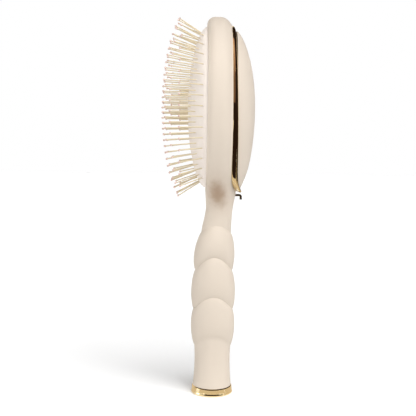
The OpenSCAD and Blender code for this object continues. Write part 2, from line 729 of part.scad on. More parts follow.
// The foot is a flared metal cap around the grip's spigot
head_sink = foot_head_r - foot_screw_r;
module foot_cap() {
    color(gold_colour)
    difference() {
        rotate_extrude($fn = fine)
            polygon([[0, 0], [foot_r - foot_wall * 0.3, 0], [foot_r, foot_wall * 0.3],
                [foot_r - (foot_r - foot_top_r) * 0.6, foot_h * 0.45],
                [foot_top_r, foot_h * 0.8], [foot_top_r - foot_wall * 0.1, foot_h], [0, foot_h]]);
        translate([0, 0, foot_floor_z])
            cylinder(h = foot_h, r = spigot_r + foot_gap, $fn = fine);
        translate([0, 0, -over])
            cylinder(h = over + pad_foot_t, r = pad_foot_r + foot_gap, $fn = fine);
        translate([0, 0, pad_foot_t])
            rotate_extrude($fn = fine)
                polygon([[0, -over], [foot_head_r + foot_gap, -over], [foot_head_r + foot_gap, 0],
                    [foot_screw_r + foot_gap, head_sink], [foot_screw_r + foot_gap, foot_h], [0, foot_h]]);
    }
}

module foot_screw() {
    color(steel_colour)
    translate([0, 0, pad_foot_t])
        difference() {
            rotate_extrude($fn = fine)
                polygon([[0, 0], [foot_head_r, 0], [foot_screw_r, head_sink],
                    [foot_screw_r, foot_screw_l], [0, foot_screw_l]]);
            translate([0, 0, -over])
                cylinder(h = over + head_sink * 0.8, r = foot_screw_r * 0.7, $fn = 6);
        }
}

module foot_pad() {
    color(dark_colour)
        cylinder(h = pad_foot_t, r = pad_foot_r, $fn = fine);
}

module foot_plug() {
    color(gold_colour)
    translate([0, 0, foot_floor_z])
        difference() {
            cylinder(h = plug_l, r = bore_r - bore_gap, $fn = fine);
            translate([0, 0, -over])
                cylinder(h = over + pad_foot_t + foot_screw_l - foot_floor_z + bore_gap * 4,
                    r = foot_screw_r + bore_gap / 2, $fn = fine);
        }
}

module balance_weight() {
    color(steel_colour)
    translate([0, 0, foot_floor_z + plug_l])
        cylinder(h = weight_l, r = bore_r - bore_gap, $fn = fine);
}

body_shell();
back_cover();
trim_ring();
pad_carrier();
carrier_screws();
hanging_hook();
foot_cap();
foot_plug();
foot_screw();
foot_pad();
balance_weight();
cushion();
pin_row_1();
pin_row_2();
pin_row_3();
pin_row_4();
pin_row_5();
pin_row_6();
pin_row_7();
pin_row_8();
pin_row_9();
pin_tips();
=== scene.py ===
import bmesh
import bpy
import math
from mathutils import Matrix, Vector


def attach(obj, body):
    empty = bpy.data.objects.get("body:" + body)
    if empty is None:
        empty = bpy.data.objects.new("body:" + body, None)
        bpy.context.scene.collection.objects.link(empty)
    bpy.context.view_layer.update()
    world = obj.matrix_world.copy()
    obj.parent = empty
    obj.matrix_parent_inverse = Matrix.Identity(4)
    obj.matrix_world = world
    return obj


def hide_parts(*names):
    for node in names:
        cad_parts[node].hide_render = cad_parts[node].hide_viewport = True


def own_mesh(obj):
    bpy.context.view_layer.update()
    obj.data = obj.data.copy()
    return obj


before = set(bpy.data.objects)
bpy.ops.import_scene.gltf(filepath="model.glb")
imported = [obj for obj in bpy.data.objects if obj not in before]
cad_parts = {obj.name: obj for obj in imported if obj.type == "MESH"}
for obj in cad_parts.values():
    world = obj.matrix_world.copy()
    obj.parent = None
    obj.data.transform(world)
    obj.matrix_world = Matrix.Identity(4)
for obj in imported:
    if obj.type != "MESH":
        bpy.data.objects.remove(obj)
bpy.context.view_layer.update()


# The photograph's viewpoint: a short telephoto lens half a metre from the brush, as
# high as the lower part of the head, looking slightly down at the brush's left side.
yaw = math.radians(1.6)
pitch = math.radians(4.58)
roll = math.radians(-0.7)
focal_pixels = 762
frame_pixels = 416
sensor_mm = 36
lens_place = (-0.0175, -0.490, 0.160)
look = Vector((math.sin(yaw) * math.cos(pitch), math.cos(yaw) * math.cos(pitch), -math.sin(pitch)))
level_right = Vector((math.cos(yaw), -math.sin(yaw), 0))
level_up = level_right.cross(look)
cam_right = level_right * math.cos(roll) - level_up * math.sin(roll)
cam_up = level_up * math.cos(roll) + level_right * math.sin(roll)
bpy.ops.object.select_all(action="DESELECT")
bpy.ops.object.camera_add(location=lens_place)
camera = bpy.context.object
camera.name = "photo_camera"
camera.rotation_mode = "QUATERNION"
camera.rotation_quaternion = Matrix((cam_right, cam_up, -look)).transposed().to_quaternion()
camera.data.sensor_width = sensor_mm
camera.data.lens = focal_pixels / frame_pixels * sensor_mm
camera.data.clip_start = 0.01
camera.data.clip_end = 50
bpy.context.scene.camera = camera
bpy.context.scene.view_settings.view_transform = "Standard"


# The table and the room: a sheet of matt white board that runs out of sight, and pale
# walls all round. Both show as plain white, and the board keeps the shadow.
def node(tree, kind, **settings):
    """Adds a node of one kind to a material or to the world."""
    made = tree.nodes.new(kind)
    for name, value in settings.items():
        setattr(made, name, value)
    return made


def feed(tree, term, socket):
    """Leads another node's result into a socket, or sets the socket to a plain value."""
    if isinstance(term, bpy.types.NodeSocket):
        tree.links.new(term, socket)
    else:
        socket.default_value = term


def maths(tree, operation, *terms, clamp=False):
    """The result of one operation on other nodes' results and plain numbers."""
    made = node(tree, "ShaderNodeMath", operation=operation, use_clamp=clamp)
    for socket, term in zip(made.inputs, terms):
        feed(tree, term, socket)
    return made.outputs[0]


def ramp(tree, value, start, end, ease="LINEAR"):
    """A result that runs from start to end, each a pair of a value and its result."""
    made = node(tree, "ShaderNodeMapRange", interpolation_type=ease)
    made.inputs["From Min"].default_value = start[0]
    made.inputs["To Min"].default_value = start[1]
    made.inputs["From Max"].default_value = end[0]
    made.inputs["To Max"].default_value = end[1]
    tree.links.new(value, made.inputs["Value"])
    return made.outputs["Result"]


def split(tree, vector):
    """The X, Y and Z of a place or a direction."""
    made = node(tree, "ShaderNodeSeparateXYZ")
    tree.links.new(vector, made.inputs[0])
    return made.outputs


table_size = 8
board_white = 0.93
board_lift = 0.06
bpy.ops.mesh.primitive_plane_add(size=table_size, location=(0, 0, 0))
floor = bpy.context.object
floor.name = "white_table"
board = bpy.data.materials.new("white_board")
board.use_nodes = True
tree = board.node_tree
tree.nodes.clear()
out = node(tree, "ShaderNodeOutputMaterial")
matt = node(tree, "ShaderNodeBsdfDiffuse")
matt.inputs["Color"].default_value = (board_white, board_white, board_white, 1)
glow = node(tree, "ShaderNodeEmission")
glow.inputs["Color"].default_value = (1, 1, 1, 1)
rays = node(tree, "ShaderNodeLightPath").outputs
both = node(tree, "ShaderNodeAddShader")
seen = maths(tree, "ADD", rays["Is Camera Ray"], rays["Is Glossy Ray"], clamp=True)
tree.links.new(maths(tree, "MULTIPLY", seen, board_lift), glow.inputs["Strength"])
tree.links.new(matt.outputs[0], both.inputs[0])
tree.links.new(glow.outputs[0], both.inputs[1])
tree.links.new(both.outputs[0], out.inputs["Surface"])
floor.data.materials.append(board)

# The room lights the brush from low down more than from above, and the lens and the
# gold see it plain white.
low_light = 0.7
high_light = 0.02
world = bpy.context.scene.world or bpy.data.worlds.new("studio")
bpy.context.scene.world = world
world.use_nodes = True
tree = world.node_tree
tree.nodes.clear()
out = node(tree, "ShaderNodeOutputWorld")
fill = node(tree, "ShaderNodeBackground")
fill.inputs["Color"].default_value = (1, 1, 1, 1)
upwards = split(tree, node(tree, "ShaderNodeTexCoord").outputs["Generated"])["Z"]
dusk = ramp(tree, upwards, (0, low_light), (1, high_light))
rays = node(tree, "ShaderNodeLightPath").outputs
direct = maths(tree, "ADD", rays["Is Camera Ray"], rays["Is Glossy Ray"])
clear = maths(tree, "ADD", direct, rays["Is Transmission Ray"], clamp=True)
level = ramp(tree, clear, (0, 0), (1, 1.0))
tree.links.new(dusk, level.node.inputs["To Min"])
tree.links.new(level, fill.inputs["Strength"])
tree.links.new(fill.outputs[0], out.inputs["Surface"])


# The lamps: one wide soft key, high up in front and to the right, which throws the
# shadow, and two weaker fills from the left and the right.
lamp_distance = 1.5


def soft_lamp(name, toward, energy, spread):
    """A lamp of even light from one direction, as wide as its spread in degrees."""
    way = Vector(toward).normalized()
    bpy.ops.object.light_add(type="SUN", location=way * lamp_distance)
    lamp = bpy.context.object
    lamp.name = name
    lamp.data.energy = energy
    lamp.data.angle = math.radians(spread)
    lamp.rotation_mode = "QUATERNION"
    lamp.rotation_quaternion = way.to_track_quat("Z", "Y")


soft_lamp("key_lamp", (0.3, -0.74, 1.25), 2.75, 44)
soft_lamp("fill_left", (-1.0, -0.4, 0.1), 1.05, 50)
soft_lamp("fill_right", (1.0, -0.6, 0.7), 0.62, 50)


# The cards: black flags, tan walls, a copper board and three silver lamp faces, which
# stand out of view all round and show in nothing but the polished gold.
def glowing(name, colour, strength):
    """The surface of a card, which gives off the light that the gold shows."""
    made = bpy.data.materials.new(name)
    made.use_nodes = True
    tree = made.node_tree
    tree.nodes.clear()
    out = node(tree, "ShaderNodeOutputMaterial")
    shine = node(tree, "ShaderNodeEmission")
    shine.inputs["Color"].default_value = colour
    shine.inputs["Strength"].default_value = strength
    tree.links.new(shine.outputs[0], out.inputs["Surface"])
    return made


def object_place(tree):
    """A point's place on its object, for a pattern that stays on the piece."""
    return node(tree, "ShaderNodeTexCoord").outputs["Object"]


black = glowing("black_flag", (1, 0.52, 0.36, 1), 0.021)
tan = glowing("tan_wall", (1, 0.87, 0.72, 1), 0.76)
silver = glowing("silver_lamp", (1, 0.97, 0.93, 1), 0.95)

# The copper board is lit from above, so it gets brighter towards its upper edge.
copper = glowing("copper_board", (1, 0.62, 0.48, 1), 0.2)
tree = copper.node_tree
up_the_board = split(tree, object_place(tree))["Y"]
brighter = ramp(tree, up_the_board, (-0.1, 0.2), (0.4, 0.62))
tree.links.new(brighter, tree.nodes["Emission"].inputs["Strength"])


def flag(name, place, size, facing, front, taper=1.0):
    """A card of one width and height, whose upper or far edge may be wider or narrower."""
    bpy.ops.object.select_all(action="DESELECT")
    bpy.ops.mesh.primitive_plane_add(size=1, location=place)
    card = bpy.context.object
    card.name = name
    for vert in card.data.vertices:
        if vert.co.y > 0:
            vert.co.x *= taper
    card.rotation_mode = "QUATERNION"
    card.rotation_quaternion = Vector(facing).to_track_quat("Z", "Y")
    card.scale = (size[0], size[1], 1)
    card.data.materials.append(front)
    card.visible_camera = False
    card.visible_diffuse = False
    card.visible_transmission = False
    card.visible_volume_scatter = False
    card.visible_shadow = False


flag("flag_front", (0, -1.0, 0.569), (1.62, 0.862), (0, 1, 0), black)
flag("copper_board", (-0.1, -0.6, 0.62), (1.1, 0.96), (0, 0.68, -0.73), copper, 1.5)
flag("lamp_high", (0.04, -0.375, 0.81), (0.10, 0.12), (0, 0.68, -0.73), silver)
flag("lamp_left", (-0.35, -0.21, 0.045), (0.2, 0.09), (0.87, 0.5, 0), silver)
flag("lamp_right", (0.335, -0.22, 0.045), (0.07, 0.09), (-0.84, 0.54, 0), silver)
flag("flag_mid", (0, -0.45, 0.137), (1.2, 0.075), (0, 1, 0), black)
flag("wall_front", (0, -1.0, 0.069), (1.62, 0.138), (0, 1, 0), tan)
flag("flag_right", (0.32, 0.325, 0.66), (1.15, 1.2), (-1, 0, 0), black)
flag("flag_gap", (0.35, -0.35, 0.3), (0.16, 0.4), (-1, 1, 0), black)
flag("flag_above", (0, -0.1, 1.0), (1.6, 1.85), (0, 0, -1), black)
flag("flag_left", (-0.8, -0.2, 0.65), (2.0, 0.95), (1, 0, 0), black)
flag("flag_back", (0.5, 0.45, 0.6), (0.8, 0.95), (0, -1, 0), black)
flag("flag_low_front", (0.15, -0.242, 0.1), (0.5, 0.416), (0, 0, 1), black)
flag("flag_low_right", (0.2225, -0.0155, 0.1), (0.355, 0.025), (0, 0, 1), black)
flag("flag_low_far", (0.25, 0.15, 0.1), (0.3, 0.3), (0, 0, 1), black)
flag("wall_right", (0.9, 0.1, 0.3), (0.8, 0.6), (-1, 0, 0), tan)
flag("wall_back", (0, 0.5, 0.3), (3.0, 0.6), (0, -1, 0), tan)
flag("table_front", (0, -0.208, 0.0003), (0.66, 0.384), (0, 0, 1), tan, 0.026)
flag("table_left", (-0.26, 0.2, 0.0003), (0.49, 0.41), (0, 0, 1), tan)
flag("table_right", (0.26, 0.19, 0.0003), (0.49, 0.41), (0, 0, 1), tan)


# The shell: grip, neck and the hollow head in one moulding of beige plastic with a
# soft-touch coat. Its edges at the seam and at the cushion are rounded by the mould.

# The head's middle is at pad_z, and its opening's plane is lip_x in front of the grip's
# axis. The seam between shell and ring lies at seam_x, and bends back by seam_rise where
# it comes down to seam_low_z.
pad_z = 0.1847
pad_half_w = 0.029
pad_half_l = 0.0515
lip_x = 0.0057
seam_x = 0.0102
seam_rise = 0.004
seam_fade = 0.0042
seam_reach = 0.0519
seam_stretch = 1.023
seam_low_z = pad_z - seam_reach * seam_stretch
seam_round = 0.0006
opening_round = 0.0003
seam_blend = 0.0016
smoothest = 0.02


def noise(tree, place, scale, detail):
    """Clouds of one size, as a value from 0 to 1."""
    made = node(tree, "ShaderNodeTexNoise")
    made.inputs["Scale"].default_value = scale
    made.inputs["Detail"].default_value = detail
    tree.links.new(place, made.inputs["Vector"])
    return made.outputs[0]


def mixed(tree, share, first, second, how="MIX"):
    """A first colour, with a share of a second one mixed into it or laid over it."""
    made = node(tree, "ShaderNodeMix", data_type="RGBA", blend_type=how)
    feed(tree, share, made.inputs[0])
    feed(tree, first, made.inputs[6])
    feed(tree, second, made.inputs[7])
    return made.outputs[2]


def surface(name, colour, rough, drift, patch, grain, bump):
    """A finish whose tone and roughness drift in patches, over a very fine grain.

    drift: the darkest and palest share of the colour, and how far the roughness goes
    patch: the patches' scale and detail
    bump: the grain's strength and height
    """
    darkest, palest, unevenness = drift
    made = bpy.data.materials.new(name)
    made.use_nodes = True
    tree = made.node_tree
    shader = tree.nodes["Principled BSDF"]
    place = object_place(tree)
    cloud = noise(tree, place, *patch)
    dark_tone = (*(part * darkest for part in colour), 1)
    pale_tone = (*(min(1, part * palest) for part in colour), 1)
    tree.links.new(mixed(tree, cloud, dark_tone, pale_tone), shader.inputs["Base Color"])
    uneven = ramp(tree, cloud, (0, max(rough - unevenness, smoothest)), (1, rough + unevenness))
    tree.links.new(uneven, shader.inputs["Roughness"])
    rise = node(tree, "ShaderNodeBump")
    rise.inputs["Strength"].default_value = bump[0]
    rise.inputs["Distance"].default_value = bump[1]
    tree.links.new(noise(tree, place, grain, 2), rise.inputs["Height"])
    tree.links.new(rise.outputs[0], shader.inputs["Normal"])
    return made


def plastic(name, colour, rough, patch=45, grain=1400):
    """Soft-touch coat: slow drifts of tone, uneven roughness and a very fine grain."""
    return surface(name, colour, rough, (0.97, 1.03, 0.07), (patch, 4), grain, (0.1, 0.0001))


def shaded(tree, shader, factor):
    """The colour that a shader has so far, times a factor that changes from place to place."""
    made = node(tree, "ShaderNodeVectorMath", operation="SCALE")
    tree.links.new(shader.inputs["Base Color"].links[0].from_socket, made.inputs[0])
    tree.links.new(factor, made.inputs["Scale"])
    return made.outputs["Vector"]


beige = plastic("soft_touch_beige", (0.64, 0.558, 0.469), 0.58)
tree = beige.node_tree
shader = tree.nodes["Principled BSDF"]
shader.inputs["Specular IOR Level"].default_value = 0.35
shader.inputs["Sheen Weight"].default_value = 0.08
# A paler copy of the coat for the rounded edges: a painted highlight.
highlit_edge_beige = plastic("beige_edge_highlight", (0.82, 0.72, 0.61), 0.5)

# The grip is a shade darker than the rest, and the head's crown is darker by painted shade. The rounded
# edges have a paler finish of their own and, with the strips beside them, carry a painted highlight.
grip_tone = 0.95
top_shade_tone = 0.91
seam_highlight = 0.13
opening_highlight = 0.14
place = object_place(tree)
parts = split(tree, place)
lower = ramp(tree, parts["Z"], (0.09, grip_tone), (0.13, 1.0), "SMOOTHSTEP")
# Painted shade on the head's crown; painted highlights along the seam and round the opening.
painted_top_shade = ramp(tree, parts["Z"], (0.212, 1.0), (0.236, top_shade_tone), "SMOOTHSTEP")
apart = maths(tree, "ABSOLUTE", maths(tree, "SUBTRACT", parts["X"], seam_x - 0.0005))
painted_seam_highlight = ramp(tree, apart, (0.0005, seam_highlight), (0.0011, 0.0), "SMOOTHSTEP")
painted_opening_light = ramp(tree, parts["X"], (-0.0054, opening_highlight), (-0.0044, 0.0), "SMOOTHSTEP")
head_only = ramp(tree, parts["Z"], (0.140, 0.0), (0.148, 1.0), "SMOOTHSTEP")
painted_edge_light = maths(tree, "MULTIPLY_ADD", maths(tree, "ADD", painted_seam_highlight, painted_opening_light), head_only, 1.0)
shade = shaded(tree, shader, maths(tree, "MULTIPLY", maths(tree, "MULTIPLY", lower, painted_top_shade), painted_edge_light))

# The neck carries a soft brown painted shade on both sides, under the overhang of the head: an oval patch,
# strong in its middle, with a faint halo and a ragged edge.
neck_shade_place = (0.0017, 0, 0.1312)
neck_shade_lean = math.radians(-14)
neck_shade_reach = (0.0088, 1000, 0.0135)
neck_shade_brown = (0.60, 0.48, 0.385, 1)
neck_shade_spot = node(tree, "ShaderNodeMapping", vector_type="TEXTURE")
neck_shade_spot.inputs["Location"].default_value = neck_shade_place
neck_shade_spot.inputs["Rotation"].default_value = (0, neck_shade_lean, 0)
neck_shade_spot.inputs["Scale"].default_value = neck_shade_reach
tree.links.new(place, neck_shade_spot.inputs["Vector"])
far = node(tree, "ShaderNodeVectorMath", operation="LENGTH")
tree.links.new(neck_shade_spot.outputs["Vector"], far.inputs[0])
ragged = maths(tree, "MULTIPLY_ADD", noise(tree, place, 260, 4), 0.5, -0.25)
outwards = maths(tree, "ADD", far.outputs["Value"], ragged)
painted_neck_shade = ramp(tree, outwards, (0.0, 0.76), (1.0, 0.0), "SMOOTHERSTEP")
painted_shade_halo = ramp(tree, outwards, (0.3, 0.16), (1.7, 0.0), "SMOOTHSTEP")
# The painted shade darkens the coat's colour on the neck.
neck_with_shade = mixed(tree, maths(tree, "ADD", painted_neck_shade, painted_shade_halo, clamp=True), shade, neck_shade_brown, "MULTIPLY")
tree.links.new(neck_with_shade, shader.inputs["Base Color"])


def merged_copy(name, new_name):
    """A copy of a CAD node with its loose triangles joined, left in edit mode."""
    bpy.ops.object.select_all(action="DESELECT")
    piece = bpy.data.objects.new(new_name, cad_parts[name].data.copy())
    bpy.context.scene.collection.objects.link(piece)
    bpy.context.view_layer.objects.active = piece
    piece.select_set(True)
    bpy.ops.mesh.customdata_custom_splitnormals_clear()
    bpy.ops.object.mode_set(mode="EDIT")
    bpy.ops.mesh.select_all(action="SELECT")
    bpy.ops.mesh.remove_doubles(threshold=0.000002)
    return piece


def pick_edges(piece, test):
    """Selects the edges of the piece in edit mode that pass a test, and nothing else."""
    bpy.ops.mesh.select_mode(type="EDGE")
    bpy.ops.mesh.select_all(action="DESELECT")
    work = bmesh.from_edit_mesh(piece.data)
    for edge in work.edges:
        if test(edge):
            edge.select = True
    bmesh.update_edit_mesh(piece.data)


def sharp(edge):
    return len(edge.link_faces) == 2 and edge.calc_face_angle() > math.radians(20)


def round_edges(piece, width, along_line):
    """Rounds the sharp edges whose ends both lie along a line of the piece in edit mode."""
    pick_edges(piece, lambda edge: sharp(edge) and all(along_line(vert) for vert in edge.verts))
    bpy.ops.mesh.bevel(offset=width, segments=3, profile=0.5, affect="EDGES", clamp_overlap=False)


def seam_at(z):
    """How far back the seam between shell and ring lies at a height."""
    return seam_x + seam_rise * math.exp(-max(z - seam_low_z, 0) / seam_fade)


def front_shift(z):
    """How far back the ring's front edge is moved at a height.

    It goes forward: by 0.15 mm above the tail, and by 0.35 mm more towards the top.
    """
    return -0.00015 * min(max((z - 0.136) / 0.008, 0), 1) - 0.00035 * min(max((z - 0.16) / 0.05, 0), 1)


def outside(vert):
    """True beyond the middle of the head's rim, seen along the pins."""
    return (vert.co.y / pad_half_w) ** 2 + ((vert.co.z - pad_z) / pad_half_l) ** 2 > 0.9


def on_seam(vert):
    if vert.co.z > seam_low_z + 0.0001:
        return abs(vert.co.x - seam_at(vert.co.z)) < 0.00006 and outside(vert)
    return abs(vert.co.z - seam_low_z) < 0.00003 and vert.co.x > seam_at(vert.co.z) - 0.00005


def on_opening(vert):
    return abs(vert.co.x + lip_x) < 0.00005 and vert.co.z > 0.12


shell = merged_copy("body_shell", "beige_shell")
round_edges(shell, seam_round, on_seam)
shell.data.materials.clear()
shell.data.materials.append(beige)
shell.data.materials.append(highlit_edge_beige)
shell.active_material_index = 1
bpy.ops.object.material_slot_assign()
round_edges(shell, opening_round, on_opening)
bpy.ops.object.material_slot_assign()
work = bmesh.from_edit_mesh(shell.data)
for vert in work.verts:
    behind = vert.co.x - seam_at(vert.co.z)
    if vert.co.z > seam_low_z + 0.002 and outside(vert) and behind > -seam_blend:
        vert.co.x += front_shift(vert.co.z) * min((behind + seam_blend) / seam_blend, 1)
bmesh.update_edit_mesh(shell.data)
bpy.ops.object.mode_set(mode="OBJECT")
bpy.ops.object.shade_smooth_by_angle(angle=math.radians(28))
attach(shell, "body")
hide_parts("body_shell")


# The gold ring: a moulded strip with mirror-bright gold plating, pressed between shell
# and cover. It is narrow at the top, and its lower end bends back with the seam.

# The opening is an oval: two short arcs of radius end_r, round points end_z above and
# below its middle, and two long arcs of radius side_r, which they meet smoothly.
end_z = 0.0315
end_r = 0.020
side_r = (end_z ** 2 + pad_half_w ** 2 - end_r ** 2) / (2 * (pad_half_w - end_r))
side_y = side_r - pad_half_w
lean = math.atan2(side_y, end_z)
ring_front = 0.0004
ring_depth = 0.00385

# The ring's section: how far back of the seam, how far out from the opening's edge,
# and how much further out at the lower end, as a share of the distance from pad_z.
ring_section = ((-0.00040, -0.0050, 0.0), (-0.00040, -0.0002, 0.020), (-0.00032, 0.00008, 0.021),
                (-0.00005, 0.00026, 0.023), (0.00060, 0.00030, 0.028), (0.00135, 0.00022, 0.037),
                (0.00205, -0.00012, 0.048), (0.00262, -0.00074, 0.058), (0.00305, -0.00160, 0.067),
                (0.00330, -0.00240, 0.071), (0.00342, -0.0031, 0.072), (0.00345, -0.0050, 0.0))


def outline(name, points):
    """A new piece that is one closed line through some points, left in edit mode."""
    bpy.ops.object.select_all(action="DESELECT")
    bpy.ops.mesh.primitive_circle_add(vertices=len(points), radius=0.001, location=(0, 0, 0))
    piece = bpy.context.object
    piece.name = name
    bpy.ops.object.mode_set(mode="EDIT")
    work = bmesh.from_edit_mesh(piece.data)
    for vert, point in zip(work.verts, points):
        vert.co = point
    bmesh.update_edit_mesh(piece.data)
    bpy.ops.mesh.select_all(action="SELECT")
    return piece


def spin_round_oval(end_steps, side_steps):
    """Spins what is selected once round the head's oval, from the top and back to it."""
    turns = ((0, end_z, lean, end_steps), (-side_y, 0, math.pi - 2 * lean, side_steps),
             (0, -end_z, 2 * lean, 2 * end_steps), (side_y, 0, math.pi - 2 * lean, side_steps),
             (0, end_z, lean, end_steps))
    for y, z, angle, steps in turns:
        bpy.ops.mesh.spin(steps=steps, angle=angle, center=(0, y, pad_z + z), axis=(1, 0, 0))
    bpy.ops.mesh.select_all(action="SELECT")
    bpy.ops.mesh.remove_doubles(threshold=0.000005)


def smooth_out(angle):
    """Turns a new piece's faces outwards and smooths all edges but those sharper than an angle."""
    bpy.ops.mesh.normals_make_consistent(inside=False)
    bpy.ops.object.mode_set(mode="OBJECT")
    bpy.ops.object.shade_smooth_by_angle(angle=math.radians(angle))


def back_shift(z):
    """How far back the ring's back edge is moved at a height.

    It goes from 0.4 mm back at the tail to 1.5 mm forward at the top.
    """
    return 0.0004 - 0.0016 * (min(max(z - 0.143, 0), 0.092) / 0.082) ** 1.3


ring = outline("gold_ring", [(seam_x + back, 0, pad_z + end_z + end_r + out_by)
                             for back, out_by, tail in ring_section])
work = bmesh.from_edit_mesh(ring.data)
share = work.verts.layers.float.new("tail")
for vert, (back, out_by, tail) in zip(work.verts, ring_section):
    vert[share] = tail
bmesh.update_edit_mesh(ring.data)
spin_round_oval(end_steps=22, side_steps=24)
work = bmesh.from_edit_mesh(ring.data)
share = work.verts.layers.float["tail"]
for vert in work.verts:
    if vert.co.z < pad_z:
        vert.co.z = pad_z + (vert.co.z - pad_z) * (1 + vert[share])
    across = min(max((vert.co.x - seam_x + ring_front) / ring_depth, 0), 1)
    vert.co.x += seam_at(vert.co.z) - seam_x
    vert.co.x += front_shift(vert.co.z) * (1 - across) + back_shift(vert.co.z) * across
bmesh.update_edit_mesh(ring.data)
smooth_out(40)


def plated(name, colour, rough, smudge=0.05, bump=0.04, metal=1):
    """Polished plating: an even metal with faint smudges and the finest of scratches."""
    made = surface(name, colour, rough, (0.95, 1.04, smudge), (90, 5), 2600, (bump, 0.00002))
    made.node_tree.nodes["Principled BSDF"].inputs["Metallic"].default_value = metal
    return made


gold = plated("polished_gold", (0.87, 0.71, 0.42), 0.04, smudge=0.02, bump=0.02)
ring.data.materials.append(gold)
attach(ring, "body")
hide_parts("trim_ring")


# The cover: a domed shell of the same coated plastic, held by four pegs inside.
# Its rim is rounded where it meets the ring, and follows the ring's back edge.
rim_behind = 0.0027
rim_round = 0.0006
rim_play = 0.0004
rim_blend = 0.001


def on_rim(vert):
    return abs(vert.co.x - seam_at(vert.co.z) - rim_behind) < 0.0004 and outside(vert)


cover = merged_copy("back_cover", "domed_cover")
round_edges(cover, rim_round, on_rim)
work = bmesh.from_edit_mesh(cover.data)
for vert in work.verts:
    behind = vert.co.x - seam_at(vert.co.z) - rim_behind
    if outside(vert) and behind < rim_blend:
        vert.co.x += min(back_shift(vert.co.z) + rim_play, 0) * min(1 - behind / rim_blend, 1)
bmesh.update_edit_mesh(cover.data)
bpy.ops.object.mode_set(mode="OBJECT")
bpy.ops.object.shade_smooth_by_angle(angle=math.radians(28))
cover.data.materials.clear()
cover.data.materials.append(beige)
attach(cover, "body")
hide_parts("back_cover")


# The foot: a polished cap of gold-plated metal, flared to the table, with rounded
# edges. It hides the end of the grip and is held by a screw from below.
foot_section = ((0.0113, 0.0), (0.0128, 0.0), (0.01318, 0.00010), (0.01346, 0.00034),
                (0.01356, 0.00062), (0.01355, 0.00086), (0.01350, 0.00106), (0.01342, 0.00130),
                (0.01333, 0.00158), (0.01327, 0.00185), (0.01319, 0.0023), (0.01309, 0.0030),
                (0.01300, 0.0038), (0.01297, 0.0042), (0.01293, 0.00438), (0.01286, 0.00458),
                (0.01275, 0.00476), (0.01260, 0.00490), (0.01242, 0.0050), (0.0122, 0.00505),
                (0.0117, 0.00505), (0.0117, 0.0031), (0.0036, 0.0031), (0.0036, 0.0009),
                (0.0113, 0.0009))
foot = outline("gold_foot", [(radius, 0, height) for radius, height in foot_section])
bpy.ops.mesh.spin(steps=96, angle=math.tau, center=(0, 0, 0), axis=(0, 0, 1))
bpy.ops.mesh.select_all(action="SELECT")
bpy.ops.mesh.remove_doubles(threshold=0.000005)
smooth_out(50)
foot.data.materials.append(plated("satin_gold", (0.87, 0.71, 0.42), 0.08, smudge=0.02))
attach(foot, "body")
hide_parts("foot_cap")


# The hook: a short piece of gilt wire bent downwards, pressed into the back of the neck to hang the brush
# by. Its plating is painted dark brown, a painted reflection of the dark surroundings it mirrors.
wire_r = 0.00075
bar_z = 0.1293
hook_from_x = 0.0094
hook_to_x = 0.0172
bend_r = 0.0011
bend_x = hook_to_x - bend_r
hook_drop = 0.0018
end_round = 0.00025
bpy.ops.object.select_all(action="DESELECT")
bpy.ops.mesh.primitive_circle_add(vertices=24, radius=wire_r, fill_type="NGON",
                                  location=(hook_from_x, 0, bar_z), rotation=(0, math.pi / 2, 0))
hook = bpy.context.object
hook.name = "gold_hook"
bpy.ops.object.transform_apply(location=True, rotation=True, scale=True)
bpy.ops.object.mode_set(mode="EDIT")
bpy.ops.mesh.select_all(action="SELECT")
bpy.ops.mesh.extrude_region_move(TRANSFORM_OT_translate={"value": (bend_x - hook_from_x, 0, 0)})
bpy.ops.mesh.spin(steps=10, angle=math.pi / 2, center=(bend_x, 0, bar_z - bend_r), axis=(0, -1, 0))
bpy.ops.mesh.extrude_region_move(TRANSFORM_OT_translate={"value": (0, 0, -hook_drop)})
bpy.ops.mesh.bevel(offset=end_round, segments=3, profile=0.5, affect="EDGES")
bpy.ops.mesh.select_all(action="SELECT")
bpy.ops.mesh.remove_doubles(threshold=0.000001)
smooth_out(40)
# The dark colour is a painted reflection, not the gold's own colour.
hook.data.materials.append(plated("gold_painted_dark", (0.16, 0.11, 0.06), 0.14))
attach(hook, "body")
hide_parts("hanging_hook")


# The pins: champagne-coloured wire in nine rows, with balls of baked lacquer on their
# ends, pushed through the skin from inside and held there by the strip behind each row.
def dress(name, material):
    """Gives a CAD node that stays its better material."""
    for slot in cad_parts[name].material_slots:
        slot.material = material


wire = plated("champagne_wire", (0.72, 0.62, 0.435), 0.5, metal=0.2)
ball = plastic("rose_brown_ball", (0.70, 0.53, 0.47), 0.32)
for i in range(1, 10):
    dress("pin_row_" + str(i), wire)
dress("pin_tips", ball)


# The cushion: a thin moulded skin of off-white rubber over air, clamped in the
# head's recess. It swells a little between the pins, which hold it down.
crown_h = 0.01165
crown_power = 0.6
skin_gap = 0.0003
skirt = 0.0028
mesh_size = 0.0015
crown_shares = (0.995, 0.985, 0.965, 0.94, 0.91, 0.87, 0.82, 0.76, 0.69, 0.61, 0.52, 0.42, 0.31, 0.2, 0.1)


def skin_x(share):
    """Where the skin lies at a share of the way from its middle to its edge."""
    return -lip_x - crown_h * (1 - share * share) ** crown_power


